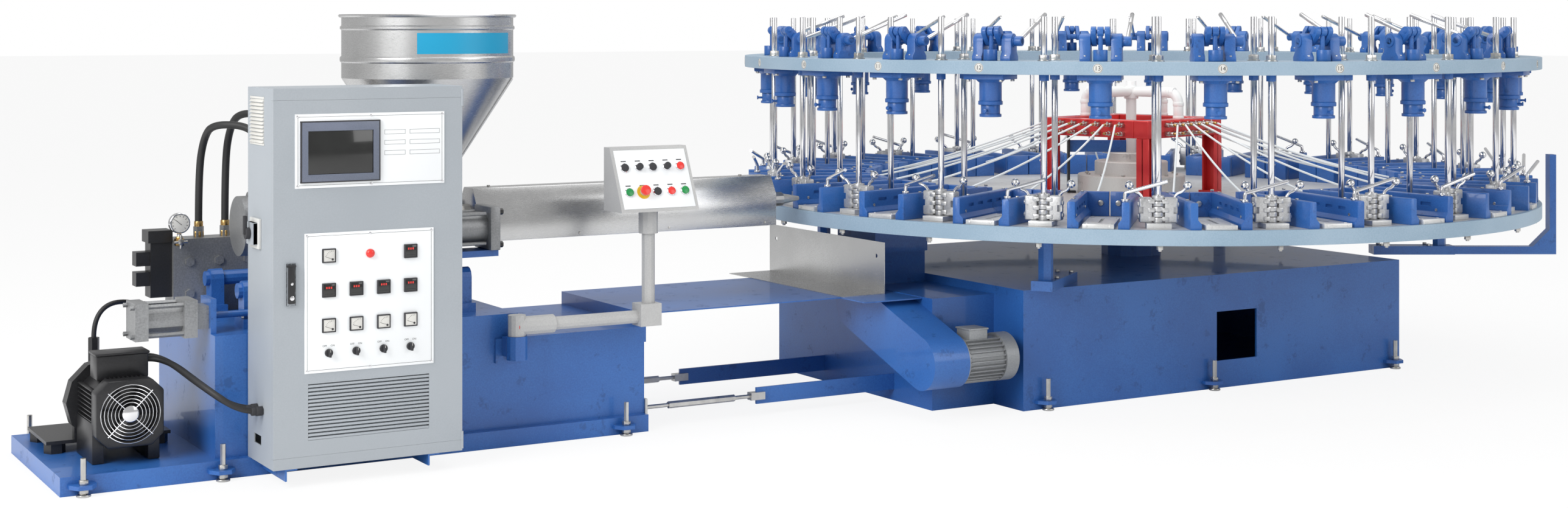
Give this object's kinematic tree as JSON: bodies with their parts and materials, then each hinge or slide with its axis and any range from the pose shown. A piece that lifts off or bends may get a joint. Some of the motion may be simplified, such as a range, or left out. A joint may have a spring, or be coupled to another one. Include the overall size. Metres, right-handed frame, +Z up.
{
  "type": "rotary injection moulding machine",
  "caption": "Rotary injection moulding machine for shoe soles: injection unit on a bed, control cabinet with pendant, and a turntable of hand presses over mould bays.",
  "frame": {"origin": "turntable axis at floor level, on the underside of the table's base", "axes": "+X along the machine away from the injection unit, +Y away from the operator's side, +Z up"},
  "size_m": [6.77, 3.64, 1.621],
  "materials": {
    "blue_paint": "semi-gloss",
    "table_grey": "satin",
    "bright_steel": "turned",
    "stainless": "brushed",
    "cabinet_paint": "satin",
    "cast_grey": "cast",
    "black_metal": "satin",
    "chrome": "polished",
    "aluminium": "cast",
    "rubber": "matt",
    "clear_hose": "clear",
    "white_pipe": "satin",
    "red_paint": "gloss",
    "red_plastic": "gloss",
    "black_plastic": "matt",
    "panel_white": "satin"
  },
  "bodies": {
    "base": {"machine_bed": "blue_paint", "turntable_base": "blue_paint", "walkway_deck": "blue_paint", "drip_tray": "stainless", "leveling_bolts": "bright_steel", "pump_motor": "black_metal", "fan_guard": "chrome", "hydraulic_pump": "black_metal", "oil_block": "blue_paint", "valve_stack": "cast_grey", "pressure_gauge": "chrome", "shift_cylinder": "cast_grey", "pressure_hoses": "rubber", "small_hoses": "rubber", "cable_conduits": "rubber", "drive_cover": "blue_paint", "drive_motor": "aluminium", "tie_channels": "blue_paint", "turnbuckles": "bright_steel", "ring_support": "blue_paint", "cabinet_shell": "cabinet_paint", "arm_socket": "cabinet_paint"},
    "fan": {"cooling_fan": "black_plastic"},
    "gauge_handle": {"gauge_valve_handle": "aluminium"},
    "isolator": {"isolator_lever": "cabinet_paint"},
    "injection_unit": {"carriage": "blue_paint", "hydraulic_motor": "cast_grey", "injection_cylinders": "bright_steel", "barrel": "bright_steel", "barrel_guard": "stainless", "hopper": "stainless"},
    "screw": {"screw": "bright_steel"},
    "door": {"cabinet_door": "cabinet_paint", "instrument_panel": "panel_white"},
    "lock_handle": {"door_handle": "black_metal"},
    "switch_1": {"zone_switch_1": "black_plastic"},
    "switch_2": {"zone_switch_2": "black_plastic"},
    "switch_3": {"zone_switch_3": "black_plastic"},
    "switch_4": {"zone_switch_4": "black_plastic"},
    "arm": {"swing_arm": "cabinet_paint"},
    "pendant": {"pendant_box": "cabinet_paint"},
    "stop_button": {"emergency_stop": "red_plastic"},
    "turntable": {"lower_table": "table_grey", "upper_ring": "table_grey", "tie_bars": "bright_steel", "press_frames": "blue_paint", "press_rams": "blue_paint", "press_cranks": "blue_paint", "mould_walls": "blue_paint", "clamp_units": "bright_steel", "hub_drum": "table_grey", "manifold_frame": "red_paint", "water_pipes": "white_pipe", "air_hoses": "clear_hose"},
    "crank": {"station_crank": "blue_paint"},
    "rod": {"station_rod": "blue_paint"},
    "ram": {"station_ram": "blue_paint"},
    "left_wall": {"mould_wall_left": "blue_paint"},
    "right_wall": {"mould_wall_right": "blue_paint"},
    "lock_lever": {"clamp_lever": "bright_steel"}
  },
  "joints": [
    {"name": "table_turn", "type": "hinge", "parent": "base", "child": "turntable", "pos_m": [0, 0, 0.7], "axis": [0, 0, 1], "continuous": true},
    {"name": "unit_slide", "type": "slide", "parent": "base", "child": "injection_unit", "axis": [-1, 0, 0], "range_m": [0, 0.1]},
    {"name": "screw_turn", "type": "hinge", "parent": "injection_unit", "child": "screw", "pos_m": [-3, 0, 0.83], "axis": [1, 0, 0], "continuous": true},
    {"name": "fan_turn", "type": "hinge", "parent": "base", "child": "fan", "pos_m": [-4.7, -0.31, 0.24], "axis": [0, 1, 0], "continuous": true},
    {"name": "gauge_valve", "type": "hinge", "parent": "base", "child": "gauge_handle", "pos_m": [-4.39, 0.2, 0.762], "axis": [0, 1, 0], "range_deg": [0, 360]},
    {"name": "main_switch", "type": "hinge", "parent": "base", "child": "isolator", "pos_m": [-4.338, -0.493, 0.852], "axis": [1, 0, 0], "range_deg": [0, 90]},
    {"name": "door_hinge", "type": "hinge", "parent": "base", "child": "door", "pos_m": [-3.634, -0.68, 0.7], "axis": [0, 0, 1], "range_deg": [0, 110]},
    {"name": "lock_swing", "type": "hinge", "parent": "door", "child": "lock_handle", "pos_m": [-4.2525, -0.689, 0.753], "axis": [-1, 0, 0], "range_deg": [0, 60]},
    {"name": "switch_turn_1", "type": "hinge", "parent": "door", "child": "switch_1", "pos_m": [-4.121, -0.69, 0.449], "axis": [0, 1, 0], "range_deg": [0, 90]},
    {"name": "switch_turn_2", "type": "hinge", "parent": "door", "child": "switch_2", "pos_m": [-4.024, -0.69, 0.449], "axis": [0, 1, 0], "range_deg": [0, 90]},
    {"name": "switch_turn_3", "type": "hinge", "parent": "door", "child": "switch_3", "pos_m": [-3.926, -0.69, 0.449], "axis": [0, 1, 0], "range_deg": [0, 90]},
    {"name": "switch_turn_4", "type": "hinge", "parent": "door", "child": "switch_4", "pos_m": [-3.828, -0.69, 0.449], "axis": [0, 1, 0], "range_deg": [0, 90]},
    {"name": "arm_swing", "type": "hinge", "parent": "base", "child": "arm", "pos_m": [-3.33, -0.46, 0.4], "axis": [0, 0, 1], "range_deg": [-70, 0]},
    {"name": "pendant_turn", "type": "hinge", "parent": "arm", "child": "pendant", "pos_m": [-2.785, -0.46, 0.85], "axis": [0, 0, 1], "range_deg": [-90, 90]},
    {"name": "stop_press", "type": "slide", "parent": "pendant", "child": "stop_button", "axis": [0, 0.9104, -0.4138], "range_m": [0, 0.005]},
    {"name": "crank_turn", "type": "hinge", "parent": "turntable", "child": "crank", "pos_m": [-1.15531, -1.18223, 1.503], "axis": [0.7152, -0.6989, 0], "range_deg": [0, 90]},
    {"name": "rod_turn", "type": "hinge", "parent": "crank", "child": "rod", "pos_m": [-1.18249, -1.21005, 1.54189], "axis": [0.7152, -0.6989, 0], "range_deg": [-90, 0]},
    {"name": "ram_slide", "type": "slide", "parent": "turntable", "child": "ram", "axis": [0, 0, -1], "range_m": [0, 0.078]},
    {"name": "left_wall_slide", "type": "slide", "parent": "turntable", "child": "left_wall", "axis": [-0.7152, 0.6989, 0], "range_m": [0, 0.02]},
    {"name": "right_wall_slide", "type": "slide", "parent": "turntable", "child": "right_wall", "axis": [0.7152, -0.6989, 0], "range_m": [0, 0.02]},
    {"name": "lock_lever_turn", "type": "hinge", "parent": "right_wall", "child": "lock_lever", "pos_m": [-1.1614, -1.32868, 0.89], "axis": [0, 0, 1], "range_deg": [0, 25]}
  ],
  "couplings": [
    {"joint": "rod_turn", "follows": "crank_turn", "ratio": -1},
    {"joint": "ram_slide", "follows": "crank_turn", "m_per_rad": 0.049517}
  ]
}
